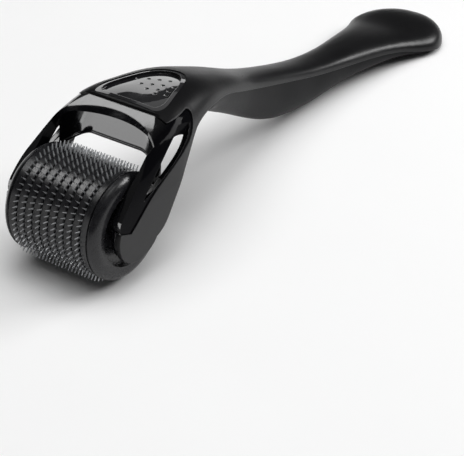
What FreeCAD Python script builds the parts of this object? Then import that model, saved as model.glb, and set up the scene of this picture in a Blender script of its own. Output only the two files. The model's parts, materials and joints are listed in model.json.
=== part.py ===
"""Derma roller: a forked two-shell handle that carries a free-running drum of needle discs.

Frame: origin on the roller axle, midway between the arms. +X runs towards the tail of
the handle, +Y along the axle, +Z up. Lengths are in millimetres. The tool lies as it
rests on a table: on the needle tips and on the tail.
"""
import FreeCAD, Part
import math
import os
from FreeCAD import Vector

# ---- driving dimensions: drum ------------------------------------------------------
NEEDLE_DISCS = 9
NEEDLES_PER_DISC = 60
DISC_PITCH = 1.90
DISC_THICKNESS = 0.24
TIP_RADIUS = 11.5
ROOT_RADIUS = 9.9
NEEDLE_WIDTH = 0.34
STAGGER_DEG = 2.2

RING_RADIUS = 10.4
RING_EDGE = 0.22
CORE_RADIUS = 7.0
CORE_KEYS = 4
KEY_WIDTH = 2.0
KEY_HEIGHT = 0.9
KEY_CLEARANCE = 0.05
CORE_HALF_LENGTH = 10.7

CAP_INNER_Y = 7.75
CAP_OUTER_Y = 11.3
CAP_RADIUS = 10.6
CAP_INNER_RADIUS = 10.2
CAP_BAND_RADIUS = 10.5
CAP_GROOVE_Y = 9.6
CAP_GROOVE = 0.25
CAP_RIM_RADIUS = 8.1
CAP_RECESS_RADIUS = 7.5
CAP_RECESS_Y = 10.2
CAP_BULGE_Y = 10.85
CAP_BULGE_RADIUS = 9.75
CAP_LEAD_IN = 0.3

# ---- driving dimensions: axle and arms ---------------------------------------------
AXLE_RADIUS = 1.5
AXLE_CLEARANCE = 0.05
AXLE_HALF_LENGTH = 12.35
HUB_RADIUS = 3.3
HUB_INNER_Y = 10.95
HUB_OUTER_Y = 12.1
BOSS_RADIUS = 6.1

# ---- driving dimensions: handle shells ---------------------------------------------
SHELL_WALL = 1.1
FIT_GAP = 0.05
YOKE_GAP = 0.12
YOKE_WALL = 1.0
YOKE_INSET = 0.25
ARCH_HALF_WIDTH = 11.7
ARCH_TOP_Z = 14.3
ARCH_CORNER = 3.0
LIP_CURVE_RADIUS = 20.0
LIP_FRONT_X = 11.5
HOLE_INNER_Y = 11.55
LINER_RADIUS = 6.0
LINER_THICKNESS = 0.9
LINER_TOP_X = 12.2
LINER_SLOPE = 1.6
LINER_BOTTOM_Z = 9.7
LINER_SCOOP = 0.1
LINER_BEND_TURNS = (0, 30, 60, 90)
LINER_BEND_DROP = 3.0
BEAD = 0.8
BEAD_ROLL = 0.25
TAIL_WALL = 1.8
TAIL_TIP_X = 121.5
TAIL_START_X = 110.5
TAIL_HALF_WIDTH = 11.4
PARTING_STEP = 0.35
SHELL_FRONT_X = 13.0

# Cross-sections of the outer skin: place along the handle, half width, height of the
# crown, height where the sides spring, and how square the shoulders are.
SKIN = [
    (-9.0, 13.9, 13.5, 4.0, 3.3),
    (-5.0, 13.9, 13.8, 4.2, 3.3),
    (-1.0, 13.9, 14.2, 4.4, 3.3),
    (3.0, 13.9, 14.9, 4.6, 3.3),
    (7.0, 13.9, 16.2, 4.8, 3.7),
    (10.0, 13.9, 16.8, 5.0, 3.8),
    (13.0, 13.8, 17.3, 5.3, 3.8),
    (17.0, 13.2, 17.8, 6.5, 3.4),
    (21.0, 12.1, 17.7, 8.0, 3.0),
    (26.0, 10.6, 17.1, 9.3, 2.8),
    (31.0, 9.1, 15.8, 9.8, 2.7),
    (36.0, 7.6, 13.9, 9.6, 2.5),
    (42.0, 6.2, 11.3, 8.1, 2.4),
    (48.0, 5.1, 8.4, 5.6, 2.4),
    (54.0, 4.5, 5.9, 3.4, 2.4),
    (60.0, 4.2, 3.8, 1.4, 2.4),
    (72.0, 4.3, 0.1, -2.2, 2.4),
    (84.0, 5.0, -2.2, -4.8, 2.4),
    (94.0, 6.5, -3.5, -6.4, 2.4),
    (102.0, 8.4, -4.9, -8.2, 2.5),
    (107.0, 10.3, -5.8, -9.7, 2.6),
    (TAIL_START_X, TAIL_HALF_WIDTH, -6.1, -10.4, 2.6),
]
TAIL_SEAM_Z = -10.6
TAIL_TURNS = (22, 42, 58, 70, 80, 86.5)
TAIL_BLUNTNESS = 0.6

# Depth of the lower shell below the parting line, at places along the handle.
BELLY = [
    (27.0, 0.9),
    (31.0, 3.2),
    (36.0, 5.4),
    (42.0, 6.4),
    (48.0, 7.6),
    (54.0, 8.9),
    (60.0, 9.5),
    (66.0, 9.1),
    (72.0, 8.1),
    (78.0, 6.8),
    (84.0, 5.4),
    (90.0, 4.5),
    (96.0, 3.7),
    (102.0, 2.7),
    (108.0, 1.5),
    (113.0, 1.1),
    (116.5, 0.9),
    (119.2, 0.8),
    (120.6, 0.7),
    (121.1, 0.5),
]
BELLY_SQUARENESS = 2.4

# Side view of the parting line between the two handle shells, hood to tail.
PARTING_LINE = [
    (20.5, 12.1), (24.0, 12.5), (30.0, 12.0), (36.0, 10.6), (42.0, 8.1), (48.0, 5.6),
    (54.0, 3.4), (60.0, 1.4), (72.0, -2.2), (84.0, -4.8), (94.0, -6.4), (102.0, -8.2),
    (107.0, -9.7), (TAIL_START_X, -10.4), (TAIL_TIP_X + 2.0, TAIL_SEAM_Z),
]
# Side view of the arm: its rear edge from the hood down to the boss, and its front
# edge from the boss up to the hood.
ARM_REAR = [(20.5, 12.1), (17.5, 10.5), (14.7, 7.6), (12.2, 4.2), (9.8, 1.1), (7.6, -1.9)]
ARM_FRONT = [(-5.5, 3.6), (-3.5, 6.1), (-0.5, 8.5), (2.5, 10.6), (5.0, 12.8), (7.7, 14.6),
             (10.5, 15.8), (SHELL_FRONT_X + 0.5, 16.8)]
# Side view of the opening in the outer shell that leaves the inner yoke on show.
LEAF_TOP_Z = 15.9
LEAF = [(-2.7, 1.1), (0.8, 3.6), (3.5, 5.5), (6.8, 7.2), (10.4, 8.8), (13.8, 10.2),
        (17.2, 11.7), (19.6, 13.7), (20.4, 15.1), (19.6, 15.8)]
# Side view of the teardrop hole through the web of each arm of the yoke.
TEARDROP = [(1.8, 6.3), (5.4, 9.3), (9.6, 12.2), (14.2, 14.4), (17.4, 14.8), (18.2, 14.1),
            (16.9, 12.4), (12.6, 10.0), (7.3, 7.7)]
# Side view of the back edge of the front strand, inside the arm.
STRAND_BACK = [(4.4, 5.0), (5.8, 7.6), (8.0, 9.8), (10.6, 11.5), (13.5, 12.8), (16.5, 13.4)]
# Plan view of half of the window in the hood, from the end of its straight front edge.
WINDOW = [(13.7, 6.8), (14.4, 7.8), (15.9, 8.1), (18.2, 7.6), (22.0, 6.3), (25.8, 4.9),
          (28.6, 3.2), (30.1, 1.4)]
WINDOW_REAR_X = 30.4
WINDOW_CENTRE_X = 21.0
LENS_SINK = 0.15
LENS_RIM = 0.9
LENS_FLOOR = 0.75
DIMPLE_RADIUS = 0.5
DIMPLE_DEPTH = 0.24
DIMPLE_STEP_X = 0.95
DIMPLE_STEP_Y = -1.9
# Where each row of dimples starts, and how many it has.
DIMPLE_ROWS = [(22.9, 4.1, 4), (21.2, 1.9, 4), (20.0, -0.4, 3), (19.3, -2.9, 2)]

WIDE = 40.0
DEEP = 30.0


# ---- shape helpers -----------------------------------------------------------------
def along_y(radius, y_from, y_to, x=0.0, z=0.0):
    """A cylinder whose axis is parallel to Y."""
    return Part.makeCylinder(radius, y_to - y_from, Vector(x, y_from, z), Vector(0, 1, 0))


def spline(points):
    curve = Part.BSplineCurve()
    curve.interpolate(points)
    return curve.toShape()


def side(points):
    """Points of a side view, placed on the middle plane."""
    return [Vector(x, 0, z) for x, z in points]


def prism(edges):
    """Extrude a closed side-view outline right across the tool."""
    face = Part.Face(Part.Wire(edges))
    face.translate(Vector(0, -WIDE / 2, 0))
    return face.extrude(Vector(0, WIDE, 0))


def lines(points):
    return [Part.makeLine(a, b) for a, b in zip(points[:-1], points[1:])]


def mirrored(shape):
    return shape.mirror(Vector(0, 0, 0), Vector(0, 1, 0))


def turned(shape, degrees):
    copy = shape.copy()
    copy.rotate(Vector(0, 0, 0), Vector(0, 1, 0), degrees)
    return copy


def single(shape):
    """The one solid of a boolean result, with split faces joined again."""
    solids = sorted(shape.Solids, key=lambda s: s.Volume)
    return solids[-1].removeSplitter()


# ---- skins -------------------------------------------------------------------------
ARC_POINTS = 17
FLANK_POINTS = 5
FLANK_DEPTH = 11.0
FLANK_LEAN = 0.05


def superellipse(x, half_width, height, base_z, squareness):
    """A rounded arch across the tool; a negative height makes it hang down."""
    points = []
    for i in range(ARC_POINTS):
        angle = math.pi * i / (ARC_POINTS - 1)
        across = abs(math.cos(angle)) ** (2.0 / squareness)
        rise = abs(math.sin(angle)) ** (2.0 / squareness)
        y = half_width * math.copysign(across, math.cos(angle))
        points.append(Vector(x, y, base_z + height * rise))
    return points


def flank(x, half_width, spring, sign):
    """The side of the skin below the spring, leaning inwards on its way down."""
    points = []
    for i in range(FLANK_POINTS):
        share = i / (FLANK_POINTS - 1)
        y = sign * half_width * (1.0 - FLANK_LEAN * share ** 2)
        points.append(Vector(x, y, spring - FLANK_DEPTH * share))
    return points


def tail_stations():
    """Stations that round the tail off to a small tip, as half an ellipse in plan."""
    stations = []
    reach = TAIL_TIP_X - TAIL_START_X
    crown = SKIN[-1][2] - SKIN[-1][3]
    for degrees in TAIL_TURNS:
        turn = math.radians(degrees)
        share = math.sin(turn)
        seam = SKIN[-1][3] + (TAIL_SEAM_Z - SKIN[-1][3]) * share
        fade = math.cos(turn)
        x = TAIL_START_X + reach * share
        stations.append((x, TAIL_HALF_WIDTH * fade, seam + crown * fade ** TAIL_BLUNTNESS,
                         seam, SKIN[-1][4]))
    return stations


def upper_skin(inset, keep_tail=True):
    """Everything under the upper skin, moved inwards by inset."""
    wires = []
    stations = SKIN + (tail_stations() if keep_tail else [])
    for x, half_width, crown, spring, squareness in stations:
        half = half_width - inset
        arch = superellipse(x, half, crown - inset - spring, spring, squareness)
        right = flank(x, half, spring, -1)
        left = flank(x, half, spring, 1)
        foot = [right[-1], Vector(x, right[-1].y, -DEEP), Vector(x, left[-1].y, -DEEP), left[-1]]
        outline = [spline(arch), spline(right)] + lines(foot) + [spline(left[::-1])]
        wires.append(Part.Wire(outline))
    return Part.makeLoft(wires, True, False)


def parting_height(x):
    """Height of the parting line, read from its side view by straight steps."""
    for (x0, z0), (x1, z1) in zip(PARTING_LINE[:-1], PARTING_LINE[1:]):
        if x0 <= x <= x1:
            return z0 + (z1 - z0) * (x - x0) / (x1 - x0)
    return PARTING_LINE[-1][1]


def skin_half_width(x):
    stations = SKIN + tail_stations()
    for before, after in zip(stations[:-1], stations[1:]):
        if before[0] <= x <= after[0]:
            share = (x - before[0]) / (after[0] - before[0])
            return before[1] + (after[1] - before[1]) * share
    return stations[-1][1]


def lower_skin(inset):
    """Everything above the lower skin, moved inwards by inset."""
    wires = []
    for x, depth in BELLY:
        seam = parting_height(x)
        half = max(skin_half_width(x) - PARTING_STEP - inset, 0.3)
        arch = superellipse(x, half, -max(depth - inset, 0.1), seam, BELLY_SQUARENESS)
        head = [Vector(x, -half, DEEP), Vector(x, half, DEEP)]
        wires.append(Part.Wire([spline(arch)] + lines([arch[-1]] + head + [arch[0]])))
    return Part.makeLoft(wires, True, False)


# ---- side outlines -----------------------------------------------------------------
def boss_arc(start, end):
    """The rounded lower end of an arm, about the axle."""
    middle = Vector(-0.3 * BOSS_RADIUS, 0, -0.954 * BOSS_RADIUS)
    return Part.Arc(start, middle, end).toShape()


def on_boss(degrees, radius=BOSS_RADIUS):
    turn = math.radians(degrees)
    return Vector(radius * math.cos(turn), 0, radius * math.sin(turn))


def hood_and_arm_outline():
    """Side view of everything the upper shell may fill."""
    front = side(ARM_FRONT)
    rear = side(ARM_REAR) + [on_boss(-35)]
    seam = side(PARTING_LINE)
    top = [front[-1], Vector(front[-1].x, 0, DEEP), Vector(seam[-1].x, 0, DEEP), seam[-1]]
    edges = [spline([on_boss(155)] + front)] + lines(top)
    edges += [spline(seam), spline(rear), boss_arc(rear[-1], on_boss(155))]
    return edges


def leaf_outline():
    """Side view of the front space that the outer shell leaves to the yoke."""
    edge = side(LEAF)
    corner = Vector(SHELL_FRONT_X, 0, LEAF_TOP_Z)
    box = [corner, Vector(SHELL_FRONT_X, 0, DEEP), Vector(-15, 0, DEEP),
           Vector(-15, 0, 5.0), Vector(-6.0, 0, 2.6), edge[0]]
    return [spline(edge), Part.makeLine(edge[-1], corner)] + lines(box)


def yoke_outline():
    """Side view of the yoke: the arms and the hood as far as the neck."""
    front = side(ARM_FRONT)
    rear = side([(26.5, 13.2), (23.0, 13.2), (20.5, 12.5), (17.3, 11.0), (14.6, 8.2),
                 (12.3, 4.8), (9.8, 1.6)]) + [on_boss(-38, BOSS_RADIUS - 0.5)]
    start = on_boss(155)
    top = [front[-1], Vector(front[-1].x, 0, DEEP), Vector(26.5, 0, DEEP), rear[0]]
    low = Part.Arc(rear[-1], on_boss(-100, BOSS_RADIUS - 0.5), start).toShape()
    return [spline([start] + front)] + lines(top) + [spline(rear), low]


def window_prism(inset):
    """The window's plan outline, drawn in by inset, standing up through the hood."""
    centre = WINDOW_CENTRE_X
    along = 1.0 - inset / (centre - WINDOW[0][0])
    across = 1.0 - inset / WINDOW[0][1]
    right = [Vector(centre + (x - centre) * along, y * across, 0) for x, y in WINDOW]
    left = [Vector(p.x, -p.y, 0) for p in right]
    rear = Vector(centre + (WINDOW_REAR_X - centre) * along, 0, 0)
    edges = [spline(right + [rear] + left[::-1]), Part.makeLine(left[0], right[0])]
    return Part.Face(Part.Wire(edges)).extrude(Vector(0, 0, DEEP))


# ---- handle pieces -----------------------------------------------------------------
def make_upper_shell():
    body = upper_skin(0).common(prism(hood_and_arm_outline()))
    hollow = upper_skin(SHELL_WALL, keep_tail=False)
    body = body.cut(hollow)
    body = body.cut(prism(leaf_outline()))
    return single(body.cut(window_prism(0)))


def make_lower_shell():
    seam = side(PARTING_LINE)
    lift = [seam[-1], Vector(seam[-1].x, 0, -DEEP), Vector(seam[0].x, 0, -DEEP), seam[0]]
    below = prism([spline(seam)] + lines(lift))
    below.translate(Vector(0, 0, -FIT_GAP))
    return single(lower_skin(0).common(below).cut(lower_skin(TAIL_WALL)))


def arch_space():
    """The open space between the arms: a rounded doorway, cut right through."""
    height = ARCH_TOP_Z + DEEP
    box = Part.makeBox(30.0, 2 * ARCH_HALF_WIDTH, height,
                       Vector(-15.0, -ARCH_HALF_WIDTH, -DEEP))
    corners = [e for e in box.Edges
               if e.BoundBox.ZMin > ARCH_TOP_Z - 0.1 and e.BoundBox.XLength > 1.0]
    box = box.makeFillet(ARCH_CORNER, corners)
    curve = Part.makeCylinder(LIP_CURVE_RADIUS, DEEP,
                              Vector(LIP_FRONT_X - LIP_CURVE_RADIUS, 0, 0))
    middle = Part.makeBox(60.0, 2 * ARCH_HALF_WIDTH, DEEP,
                          Vector(-40.0, -ARCH_HALF_WIDTH, 0))
    return box.fuse(curve.common(middle))


def raised_front():
    """The front strands and the lip, which stand nearly flush with the outer shell."""
    body = upper_skin(YOKE_INSET, keep_tail=False)
    for rise in (FIT_GAP, -FIT_GAP):
        opening = prism(leaf_outline())
        opening.translate(Vector(-FIT_GAP, 0, rise))
        body = body.common(opening)
    return body.common(prism(hood_and_arm_outline()))


def strand_relief():
    """The space behind the front strand, inside the web and above the boss."""
    edge = side(STRAND_BACK)
    low = Part.Arc(Vector(BOSS_RADIUS + 0.4, 0, 0), on_boss(25, BOSS_RADIUS + 0.4), edge[0])
    around = side([STRAND_BACK[-1], (24.0, 13.4), (24.0, 0.0), (BOSS_RADIUS + 0.4, 0.0)])
    return prism([low.toShape(), spline(edge)] + lines(around))


def liner_section(top_x, degrees):
    """Section of the liner wall, some way round its bend: the nearer the arm, the
    steeper its face and the lower the rolled bead it ends in."""
    turn = math.radians(degrees)
    slope = LINER_SLOPE * math.cos(turn) ** 2
    top = ARCH_TOP_Z + 0.3
    bottom = LINER_BOTTOM_Z - LINER_BEND_DROP * math.sin(turn) ** 2
    bead_x = top_x - slope
    waist = Vector(top_x - slope / 2 + LINER_SCOOP, 0, (top + bottom + BEAD) / 2)
    face = Part.Arc(Vector(top_x, 0, top), waist, Vector(bead_x, 0, bottom + BEAD))
    bead = Part.Arc(Vector(bead_x, 0, bottom + BEAD),
                    Vector(bead_x - BEAD_ROLL, 0, bottom + BEAD / 2),
                    Vector(bead_x + BEAD_ROLL / 2, 0, bottom))
    back_x = top_x + LINER_THICKNESS
    back = side([(bead_x + BEAD_ROLL / 2, bottom), (back_x - slope / 2, bottom),
                 (back_x, top - 2 * BEAD), (back_x, DEEP), (top_x, DEEP), (top_x, top)])
    return Part.Wire([face.toShape(), bead.toShape()] + lines(back))


def make_liner(skin):
    """The wall behind the drum: straight across, then bent forward to meet the arms."""
    corner_x = LINER_TOP_X - LINER_RADIUS
    corner_y = ARCH_HALF_WIDTH - LINER_RADIUS
    straight = Part.Face(liner_section(LINER_TOP_X, 0))
    straight.translate(Vector(0, -corner_y, 0))
    straight = straight.extrude(Vector(0, 2 * corner_y, 0))
    sections = []
    for degrees in LINER_BEND_TURNS:
        section = liner_section(LINER_RADIUS, degrees)
        section.rotate(Vector(0, 0, 0), Vector(0, 0, 1), degrees)
        sections.append(section)
    bend = Part.makeLoft(sections, True, False)
    bend.translate(Vector(corner_x, corner_y, 0))
    return straight.fuse([bend, mirrored(bend)]).common(skin)


def make_yoke():
    outer = upper_skin(SHELL_WALL + YOKE_GAP, keep_tail=False)
    inner = upper_skin(SHELL_WALL + YOKE_GAP + YOKE_WALL, keep_tail=False)
    frame = outer.common(prism(yoke_outline())).fuse(raised_front())
    back = Part.makeBox(40.0, WIDE, 60.0, Vector(SHELL_FRONT_X, -WIDE / 2, -30.0))
    body = frame.cut([arch_space(), inner.common(back), strand_relief().common(outer)])
    curve = Part.BSplineCurve()
    curve.interpolate(side(TEARDROP), PeriodicFlag=True)
    hole = prism([curve.toShape()])
    middle = Part.makeBox(60.0, 2 * HOLE_INNER_Y, 60.0, Vector(-20, -HOLE_INNER_Y, -30))
    body = body.fuse(make_liner(outer)).cut(hole.cut(middle))
    hub = along_y(HUB_RADIUS, -HUB_OUTER_Y, -HUB_INNER_Y)
    body = body.fuse([hub, mirrored(hub)])
    return single(body.cut(along_y(AXLE_RADIUS, -AXLE_HALF_LENGTH, AXLE_HALF_LENGTH)))


def skin_section(x):
    """Half width, crown, spring height and squareness of the skin at a place along it."""
    for before, after in zip(SKIN[:-1], SKIN[1:]):
        if before[0] <= x <= after[0]:
            share = (x - before[0]) / (after[0] - before[0])
            return [a + (b - a) * share for a, b in zip(before[1:], after[1:])]
    return SKIN[-1][1:]


def skin_height(x, y, inset):
    half_width, crown, spring, squareness = skin_section(x)
    across = abs(y) / (half_width - inset)
    return spring + (crown - inset - spring) * (1.0 - across ** squareness) ** (1.0 / squareness)


def dimples():
    """Slanting rows of shallow round dimples in the floor of the lens."""
    balls = []
    for start_x, start_y, count in DIMPLE_ROWS:
        for step in range(count):
            x = start_x + DIMPLE_STEP_X * step
            y = start_y + DIMPLE_STEP_Y * step
            z = skin_height(x, y, LENS_FLOOR) + DIMPLE_RADIUS - DIMPLE_DEPTH
            balls.append(Part.makeSphere(DIMPLE_RADIUS, Vector(x, y, z)))
    return balls


def make_lens():
    body = upper_skin(LENS_SINK, keep_tail=False).common(window_prism(FIT_GAP))
    body = body.cut(upper_skin(SHELL_WALL, keep_tail=False))
    tray = window_prism(LENS_RIM).cut(upper_skin(LENS_FLOOR, keep_tail=False))
    return single(body.cut(tray).cut(dimples()))


# ---- drum pieces -------------------------------------------------------------------
def key_bars(clearance, y_from, y_to):
    """The ribs on the core that carry the discs and rings round."""
    bars = []
    for i in range(CORE_KEYS):
        width = KEY_WIDTH + 2 * clearance
        top = CORE_RADIUS + KEY_HEIGHT + clearance
        bar = Part.makeBox(width, y_to - y_from, top - CORE_RADIUS + 1.0,
                           Vector(-width / 2, y_from, CORE_RADIUS - 1.0))
        bars.append(turned(bar, 360.0 * i / CORE_KEYS))
    return bars


def core_socket(y_from, y_to):
    """The hole in a disc or ring that slides over the keyed core."""
    bore = along_y(CORE_RADIUS + KEY_CLEARANCE, y_from, y_to)
    return bore.fuse(key_bars(KEY_CLEARANCE, y_from, y_to))


def make_needle_disc(index):
    """One stamped disc: a flat ring whose rim is cut into pointed needles."""
    middle = (index - (NEEDLE_DISCS - 1) / 2.0) * DISC_PITCH
    y = middle - DISC_THICKNESS / 2.0
    step = 2 * math.pi / NEEDLES_PER_DISC
    half = NEEDLE_WIDTH / 2.0 / ROOT_RADIUS
    phase = math.radians(STAGGER_DEG) * index
    points = []
    for i in range(NEEDLES_PER_DISC):
        angle = phase + i * step
        for radius, offset in ((ROOT_RADIUS, -half), (TIP_RADIUS, 0.0), (ROOT_RADIUS, half)):
            points.append(Vector(radius * math.cos(angle + offset), y,
                                 radius * math.sin(angle + offset)))
    rim = Part.Face(Part.makePolygon(points + [points[0]]))
    disc = rim.extrude(Vector(0, DISC_THICKNESS, 0))
    return disc.cut(core_socket(y - 1.0, y + DISC_THICKNESS + 1.0))


def make_spacer_ring(index):
    """The plastic ring that keeps two neighbouring discs apart."""
    start = (index - (NEEDLE_DISCS - 1) / 2.0) * DISC_PITCH + DISC_THICKNESS / 2.0
    end = start + DISC_PITCH - DISC_THICKNESS
    ring = along_y(RING_RADIUS, start, end)
    rims = [e for e in ring.Edges if isinstance(e.Curve, Part.Circle)]
    ring = ring.makeFillet(RING_EDGE, rims)
    return ring.cut(core_socket(start - 1.0, end + 1.0))


def make_core():
    end = NEEDLE_DISCS * DISC_PITCH / 2.0
    body = along_y(CORE_RADIUS, -CAP_RECESS_Y, CAP_RECESS_Y)
    body = body.fuse(along_y(HUB_RADIUS, -CORE_HALF_LENGTH, CORE_HALF_LENGTH))
    body = body.fuse(key_bars(0, -end, end))
    bore = AXLE_RADIUS + AXLE_CLEARANCE
    return single(body.cut(along_y(bore, -WIDE / 2, WIDE / 2)))


def make_end_cap():
    """The cap at the +Y end, turned from its half profile about the axle."""
    start = Vector(0, CAP_INNER_Y, CORE_RADIUS)
    shoulder = Vector(0, CAP_GROOVE_Y + CAP_GROOVE, CAP_RADIUS)
    rim = Vector(0, CAP_OUTER_Y, CAP_RIM_RADIUS)
    bulge = Vector(0, CAP_BULGE_Y, CAP_BULGE_RADIUS)
    band = [start, Vector(0, CAP_INNER_Y, CAP_INNER_RADIUS),
            Vector(0, CAP_INNER_Y + CAP_LEAD_IN, CAP_BAND_RADIUS - 0.1),
            Vector(0, CAP_GROOVE_Y - CAP_GROOVE, CAP_BAND_RADIUS),
            Vector(0, CAP_GROOVE_Y - CAP_GROOVE, CAP_BAND_RADIUS - CAP_GROOVE),
            Vector(0, CAP_GROOVE_Y, CAP_BAND_RADIUS - CAP_GROOVE),
            Vector(0, CAP_GROOVE_Y, CAP_RADIUS - 0.15), shoulder]
    recess = [rim, Vector(0, CAP_OUTER_Y, CAP_RECESS_RADIUS),
              Vector(0, CAP_RECESS_Y, CAP_RECESS_RADIUS - 0.2),
              Vector(0, CAP_RECESS_Y, CORE_RADIUS), start]
    edges = lines(band) + [Part.Arc(shoulder, bulge, rim).toShape()] + lines(recess)
    half = Part.Face(Part.Wire(edges))
    cap = half.revolve(Vector(0, 0, 0), Vector(0, 1, 0), 360)
    return cap.cut(core_socket(CAP_INNER_Y - 1.0, NEEDLE_DISCS * DISC_PITCH / 2.0 + 0.05))


def build():
    nodes = {
        "handle_upper_shell": make_upper_shell(),
        "handle_lower_shell": make_lower_shell(),
        "inner_yoke": make_yoke(),
        "window_lens": make_lens(),
        "axle_pin": along_y(AXLE_RADIUS, -AXLE_HALF_LENGTH, AXLE_HALF_LENGTH),
        "roller_core": make_core(),
    }
    for index in range(NEEDLE_DISCS):
        nodes["needle_disc_%d" % (index + 1)] = make_needle_disc(index)
    for index in range(NEEDLE_DISCS - 1):
        nodes["spacer_ring_%d" % (index + 1)] = make_spacer_ring(index)
    cap = make_end_cap()
    nodes["end_cap_left"] = cap
    nodes["end_cap_right"] = mirrored(cap)
    return nodes


os.makedirs("parts", exist_ok=True)
for name, shape in build().items():
    box = shape.BoundBox
    print("%-20s solids %d valid %s vol %8.1f x %.1f..%.1f y %.1f..%.1f z %.1f..%.1f" % (
        name, len(shape.Solids), shape.isValid(), shape.Volume,
        box.XMin, box.XMax, box.YMin, box.YMax, box.ZMin, box.ZMax))
    shape.exportStep("parts/%s.step" % name)
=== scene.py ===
"""Looks of the derma roller: materials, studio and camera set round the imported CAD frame.

Every piece is a CAD node, whose shape and place come from the frame. This script gives each
one a moulded plastic or bright steel finish, and lights it on a pale floor.
"""
import json
import math

import bpy
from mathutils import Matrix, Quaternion, Vector

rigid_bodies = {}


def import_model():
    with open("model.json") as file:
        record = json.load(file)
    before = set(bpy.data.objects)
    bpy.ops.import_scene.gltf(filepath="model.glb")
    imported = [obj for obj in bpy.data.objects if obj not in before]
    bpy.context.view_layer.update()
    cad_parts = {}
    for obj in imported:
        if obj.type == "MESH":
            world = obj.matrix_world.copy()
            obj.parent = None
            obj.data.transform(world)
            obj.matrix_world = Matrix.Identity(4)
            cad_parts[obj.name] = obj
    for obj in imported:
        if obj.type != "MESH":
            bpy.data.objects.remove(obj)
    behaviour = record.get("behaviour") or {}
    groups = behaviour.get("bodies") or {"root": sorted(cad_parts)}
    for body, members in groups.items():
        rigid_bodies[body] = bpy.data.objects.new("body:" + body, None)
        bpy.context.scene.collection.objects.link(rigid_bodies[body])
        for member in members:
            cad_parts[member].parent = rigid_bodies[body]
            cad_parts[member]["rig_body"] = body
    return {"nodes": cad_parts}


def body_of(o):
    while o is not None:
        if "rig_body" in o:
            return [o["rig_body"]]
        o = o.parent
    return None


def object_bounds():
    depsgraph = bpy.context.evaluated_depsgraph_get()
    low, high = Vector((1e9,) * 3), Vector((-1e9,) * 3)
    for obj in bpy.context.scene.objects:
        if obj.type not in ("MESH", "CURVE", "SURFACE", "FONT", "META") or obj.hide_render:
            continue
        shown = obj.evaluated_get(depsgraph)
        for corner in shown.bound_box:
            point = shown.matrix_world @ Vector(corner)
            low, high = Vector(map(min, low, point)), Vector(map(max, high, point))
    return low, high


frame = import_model()
cad_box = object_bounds()
nodes = frame["nodes"]

MM = 0.001

# Sockets of the colour mix node, which carries one set of inputs for each data type.
MIX_FACTOR = 0
MIX_COLOUR_A = 6
MIX_COLOUR_B = 7
MIX_RESULT = 2

# How far the soft boxes stand from what they aim at, in metres.
FAR = 0.9
NEAR = 0.09
ABOVE = 1.2
# How far round the window's two lights are rolled, in degrees.
WINDOW_ROLL = -54
FLOOR_HALF = 3.0
# A point on the wall behind the drum.
LINER_FACE = Vector((11.0, 0.0, 12.5)) * MM

# The camera: where it stands, the place on the floor it looks at, its roll in degrees,
# and its lens in millimetres.
CAMERA_EYE = Vector((-209.38, -192.83, 178.01)) * MM
CAMERA_AIM = Vector((24.87, -16.05, -11.50)) * MM
CAMERA_ROLL = -1.69
CAMERA_LENS = 138.2


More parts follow.
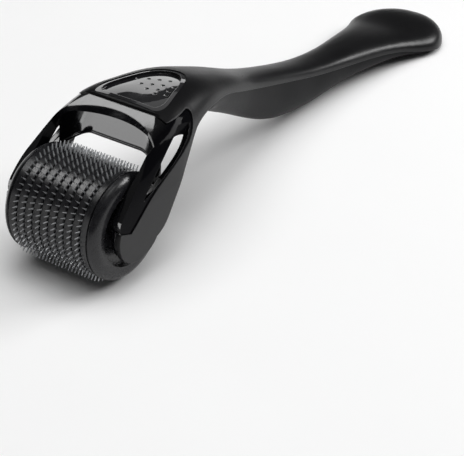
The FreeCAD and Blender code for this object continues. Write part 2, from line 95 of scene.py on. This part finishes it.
# ---- material helpers --------------------------------------------------------------
class Finish:
    """A material under construction: short calls that add and join shader nodes."""

    def __init__(self, name):
        self.material = bpy.data.materials.new(name)
        self.material.use_nodes = True
        self.tree = self.material.node_tree
        self.shader = self.tree.nodes["Principled BSDF"]
        coordinates = self.tree.nodes.new("ShaderNodeTexCoord")
        self.place = coordinates.outputs["Object"]

    def add(self, kind, **values):
        """A new node, with the given settings and input values."""
        node = self.tree.nodes.new(kind)
        for key, value in values.items():
            if hasattr(node, key):
                setattr(node, key, value)
            else:
                node.inputs[key.replace("_", " ")].default_value = value
        return node

    def join(self, source, target):
        self.tree.links.new(source, target)

    def noise(self, size_mm, detail=3.0, stretch=(1, 1, 1)):
        """Noise whose features are about size_mm across, drawn out along an axis if wanted."""
        mapping = self.add("ShaderNodeMapping")
        mapping.inputs["Scale"].default_value = stretch
        self.join(self.place, mapping.inputs["Vector"])
        noise = self.add("ShaderNodeTexNoise", Scale=1.0 / (size_mm * MM), Detail=detail)
        self.join(mapping.outputs["Vector"], noise.inputs["Vector"])
        return noise.outputs["Fac"]

    def between(self, source, low, high, soft=(0.3, 0.7)):
        """Map a noise value on to the range low to high."""
        ramp = self.add("ShaderNodeMapRange")
        ramp.inputs["From Min"].default_value = soft[0]
        ramp.inputs["From Max"].default_value = soft[1]
        ramp.inputs["To Min"].default_value = low
        ramp.inputs["To Max"].default_value = high
        self.join(source, ramp.inputs["Value"])
        return ramp.outputs["Result"]

    def math(self, operation, first, second=0.0):
        """One arithmetic step on values or links."""
        node = self.add("ShaderNodeMath", operation=operation)
        for value, socket in zip((first, second), node.inputs):
            if isinstance(value, (int, float)):
                socket.default_value = value
            else:
                self.join(value, socket)
        return node.outputs[0]

    def mix(self, share, colour_a, colour_b):
        node = self.add("ShaderNodeMix", data_type="RGBA")
        node.inputs[MIX_COLOUR_A].default_value = (*colour_a, 1)
        node.inputs[MIX_COLOUR_B].default_value = (*colour_b, 1)
        self.join(share, node.inputs[MIX_FACTOR])
        return node.outputs[MIX_RESULT]

    def bump(self, height, strength, depth_mm, normal=None):
        node = self.add("ShaderNodeBump", Strength=strength, Distance=depth_mm * MM)
        self.join(height, node.inputs["Height"])
        if normal is not None:
            self.join(normal, node.inputs["Normal"])
        return node.outputs["Normal"]

    def edge(self, radius_mm):
        """Normals that round off the edges."""
        bevel = self.add("ShaderNodeBevel", Radius=radius_mm * MM)
        bevel.samples = 4
        return bevel.outputs["Normal"]

    def painted_edge_highlight(self, rounded):
        """How much each point is on an edge, where the rounded normals turn away; it places a
        painted edge highlight.
        """
        geometry = self.add("ShaderNodeNewGeometry")
        dot = self.add("ShaderNodeVectorMath", operation="DOT_PRODUCT")
        self.join(rounded, dot.inputs[0])
        self.join(geometry.outputs["Normal"], dot.inputs[1])
        return self.between(dot.outputs["Value"], 1.0, 0.0, soft=(0.75, 0.99))

    def sideways(self):
        """How much the surface faces along the axle, from 0 to 1."""
        geometry = self.add("ShaderNodeNewGeometry")
        split = self.add("ShaderNodeSeparateXYZ")
        self.join(geometry.outputs["Normal"], split.inputs["Vector"])
        return self.math("ABSOLUTE", split.outputs["Y"])

    def set(self, **links):
        """Give the main shader's inputs a value or a link."""
        for key, value in links.items():
            socket = self.shader.inputs[key.replace("_", " ")]
            if hasattr(value, "is_linked"):
                self.join(value, socket)
            else:
                socket.default_value = value


def put(material, *names):
    """Give a CAD node's object the finished material in each of its slots."""
    for name in names:
        slots = nodes[name].data.materials
        for index in range(len(slots)):
            slots[index] = material
        if not slots:
            slots.append(material)


# ---- materials ---------------------------------------------------------------------
def satin_plastic(name, shine):
    """A handle shell: black moulded plastic with a fine spark-eroded grain, and a painted
    highlight that lightens its edges.
    """
    finish = Finish(name)
    cloud = finish.noise(9.0, detail=4.0)
    grain = finish.noise(0.22, detail=2.0)
    rounded = finish.edge(0.25)
    colour = finish.mix(finish.between(cloud, 0, 1), (0.006, 0.006, 0.007), (0.009, 0.009, 0.010))
    # Painted highlight: the colour turns lighter grey on the edges, standing in for edge
    # highlights.
    edge_highlighted = finish.add("ShaderNodeMix", data_type="RGBA")
    finish.join(finish.math("MULTIPLY", finish.painted_edge_highlight(rounded), 0.35), edge_highlighted.inputs[MIX_FACTOR])
    finish.join(colour, edge_highlighted.inputs[MIX_COLOUR_A])
    edge_highlighted.inputs[MIX_COLOUR_B].default_value = (0.05, 0.05, 0.055, 1)
    broad = finish.between(cloud, 0.30, 0.36)
    fine = finish.between(grain, -0.03, 0.03)
    roughness = finish.math("ADD", broad, fine)
    normal = finish.bump(grain, 0.10, 0.02, rounded)
    finish.set(Base_Color=edge_highlighted.outputs[MIX_RESULT], Roughness=roughness, Normal=normal)
    finish.set(**{"Specular IOR Level": shine})
    return finish.material


def gloss_plastic():
    """The inner yoke: piano-black plastic with faint moulding ripple and smears, and a painted
    highlight that lightens its edges. The faces that look along the axle are dull, so they stay
    plain black."""
    finish = Finish("gloss_plastic")
    ripple = finish.noise(6.0, detail=1.0)
    smear = finish.noise(2.5, detail=5.0, stretch=(1, 3, 1))
    rounded = finish.edge(0.22)
    # Painted highlight: the colour turns lighter grey on the edges, standing in for edge
    # highlights.
    colour = finish.mix(finish.painted_edge_highlight(rounded), (0.004, 0.004, 0.005), (0.02, 0.02, 0.022))
    roughness = finish.between(smear, 0.05, 0.12)
    normal = finish.bump(ripple, 0.12, 0.15, rounded)
    shine = finish.between(finish.sideways(), 0.6, 0.02, soft=(0.35, 0.6))
    finish.set(Base_Color=colour, Roughness=roughness, Normal=normal)
    finish.set(**{"Coat Weight": shine, "Coat Roughness": 0.03, "Specular IOR Level": shine})
    return finish.material


def smoke_lens():
    """The window: near-black smoked plastic, polished, over a dark hood."""
    finish = Finish("smoke_lens")
    haze = finish.noise(3.0, detail=4.0)
    ripple = finish.noise(5.0, detail=1.0)
    rounded = finish.edge(0.18)
    colour = finish.mix(finish.between(haze, 0, 1), (0.010, 0.010, 0.012), (0.022, 0.022, 0.025))
    normal = finish.bump(ripple, 0.10, 0.12, rounded)
    finish.set(Base_Color=colour, Roughness=finish.between(haze, 0.04, 0.09), Normal=normal)
    finish.set(**{"Coat Weight": 1.0, "Coat Roughness": 0.02, "Specular IOR Level": 0.7})
    return finish.material


def drum_plastic():
    """Rings, caps and core of the drum: dark grey, half-gloss, with turned-looking grain."""
    finish = Finish("drum_plastic")
    cloud = finish.noise(2.0, detail=4.0)
    streak = finish.noise(0.5, detail=2.0, stretch=(1, 8, 1))
    rounded = finish.edge(0.15)
    colour = finish.mix(finish.between(cloud, 0, 1), (0.010, 0.010, 0.012), (0.017, 0.017, 0.019))
    broad = finish.between(cloud, 0.24, 0.32)
    roughness = finish.math("ADD", broad, finish.between(streak, -0.03, 0.03))
    normal = finish.bump(streak, 0.08, 0.02, rounded)
    finish.set(Base_Color=colour, Roughness=roughness, Normal=normal)
    finish.set(**{"Coat Weight": 0.15, "Coat Roughness": 0.15, "Specular IOR Level": 0.35})
    return finish.material


def bright_steel(name, roughness_low, roughness_high, metallic):
    """Stainless steel with fine marks from the press. A lower metallic value stands for
    the milky look of many small burrs and scratches."""
    finish = Finish(name)
    marks = finish.noise(0.12, detail=3.0, stretch=(1, 4, 1))
    tone = finish.noise(0.9, detail=2.0)
    colour = finish.mix(finish.between(tone, 0, 1), (0.38, 0.39, 0.40), (0.52, 0.53, 0.55))
    roughness = finish.between(marks, roughness_low, roughness_high)
    normal = finish.bump(marks, 0.15, 0.01)
    finish.set(Base_Color=colour, Metallic=metallic, Roughness=roughness, Normal=normal)
    return finish.material


def dress():
    """Give every CAD node its finish."""
    put(satin_plastic("upper_satin", 0.30), "handle_upper_shell")
    put(satin_plastic("lower_satin", 0.07), "handle_lower_shell")
    put(gloss_plastic(), "inner_yoke")
    put(smoke_lens(), "window_lens")
    plastic = [n for n in nodes if n.startswith(("spacer_ring", "end_cap", "roller_core"))]
    put(drum_plastic(), *plastic)
    discs = [n for n in nodes if n.startswith("needle_disc")]
    put(bright_steel("needle_steel", 0.30, 0.42, 0.5), *discs)
    put(bright_steel("axle_steel", 0.10, 0.18, 1.0), "axle_pin")


# ---- studio ------------------------------------------------------------------------
def pale_floor():
    """A large matt floor under the needle tips, with very faint mottling."""
    half = FLOOR_HALF
    mesh = bpy.data.meshes.new("floor")
    height = cad_box[0].z
    corners = [(-half, -half, height), (half, -half, height), (half, half, height),
               (-half, half, height)]
    mesh.from_pydata(corners, [], [(0, 1, 2, 3)])
    floor = bpy.data.objects.new("floor", mesh)
    bpy.context.scene.collection.objects.link(floor)
    finish = Finish("pale_floor")
    tone = finish.noise(40.0)
    finish.set(Base_Color=finish.mix(tone, (0.90, 0.90, 0.90), (0.93, 0.93, 0.93)), Roughness=0.8)
    finish.set(**{"Specular IOR Level": 0.1})
    mesh.materials.append(finish.material)
    return floor


def facing(direction, roll):
    """The turn that points an object's +Z along a direction, rolled by some degrees."""
    spin = Quaternion((0.0, 0.0, 1.0), math.radians(roll))
    return direction.to_track_quat("Z", "Y") @ spin


def softbox(name, toward, distance, size, power, aim, roll=0.0):
    """A rectangular light that faces the aim from a direction, rolled by some degrees. It
    is seen only in reflections."""
    data = bpy.data.lights.new(name, "AREA")
    data.shape = "RECTANGLE"
    data.size, data.size_y = size
    data.energy = power
    lamp = bpy.data.objects.new(name, data)
    bpy.context.scene.collection.objects.link(lamp)
    direction = Vector(toward).normalized()
    lamp.location = aim + direction * distance
    lamp.visible_camera = False
    lamp.rotation_mode = "QUATERNION"
    lamp.rotation_quaternion = facing(direction, roll)
    return lamp


def only_for(lamp, *pieces):
    """Let a lamp light only the given objects."""
    group = bpy.data.collections.new(lamp.name + "_receivers")
    for piece in pieces:
        group.objects.link(piece)
    lamp.light_linking.receiver_collection = group


def sky(strength):
    """An even white sky."""
    world = bpy.data.worlds.new("studio")
    bpy.context.scene.world = world
    world.use_nodes = True
    background = world.node_tree.nodes["Background"]
    background.inputs["Color"].default_value = (1, 1, 1, 1)
    background.inputs["Strength"].default_value = strength


def lights(floor):
    """A dim sky and soft boxes, each placed where one polished face mirrors it."""
    middle = (cad_box[0] + cad_box[1]) / 2
    head = Vector((0.0, 0.0, middle.z))
    yoke = nodes["inner_yoke"]
    lens = nodes["window_lens"]
    drum = [node for node in nodes.values() if body_of(node) == ["drum"]]
    discs = [nodes[name] for name in nodes if name.startswith("needle_disc")]
    sky(0.07)
    softbox("right_strip", (0.67, -0.52, 0.485), FAR, (0.50, 0.24), 4.5, middle)
    softbox("overhead", (0.12, -0.08, 1.0), FAR, (0.45, 0.45), 1.5, head)
    wash = softbox("floor_wash", (0.0, 0.0, 1.0), ABOVE, (1.5, 1.5), 12.0, head)
    only_for(wash, floor)
    far_window = softbox("window_far", (0.59, 0.73, 0.35), FAR, (0.45, 0.73), 1.2, head,
                         WINDOW_ROLL)
    near_window = softbox("window_near", (0.62, 0.32, 0.71), FAR, (0.32, 0.60), 0.18, head,
                          WINDOW_ROLL)
    for lamp in (far_window, near_window):
        only_for(lamp, lens)
    lip = softbox("lip_light", (0.22, 0.58, 0.78), FAR, (0.20, 0.10), 0.25, head)
    card = softbox("low_card", (-0.86, 0.50, 0.06), NEAR, (0.10, 0.045), 0.043, LINER_FACE)
    for lamp in (lip, card):
        only_for(lamp, yoke)
    crest = softbox("crest_light", (-0.05, 0.58, 0.81), FAR, (0.36, 0.15), 1.5, head)
    cap_light = softbox("cap_light", (0.16, -0.58, 0.80), FAR, (0.34, 0.16), 0.5, head)
    left_fill = softbox("left_fill", (-0.80, 0.58, 0.14), FAR, (0.60, 0.40), 0.7, head)
    for lamp in (crest, cap_light, left_fill):
        only_for(lamp, *drum)
    needle_light = softbox("needle_light", (0.30, -0.20, 0.93), FAR, (0.30, 0.30), 7.0, head)
    only_for(needle_light, *discs)


def camera():
    """A long lens, above and in front of the drum, that looks along the handle."""
    data = bpy.data.cameras.new("camera")
    data.sensor_width = 36.0
    data.lens = CAMERA_LENS
    viewer = bpy.data.objects.new("camera", data)
    bpy.context.scene.collection.objects.link(viewer)
    viewer.location = CAMERA_EYE
    viewer.rotation_mode = "QUATERNION"
    viewer.rotation_quaternion = facing(CAMERA_EYE - CAMERA_AIM, CAMERA_ROLL)
    bpy.context.scene.camera = viewer


dress()
lights(pale_floor())
camera()
bpy.context.scene.view_settings.view_transform = "Standard"
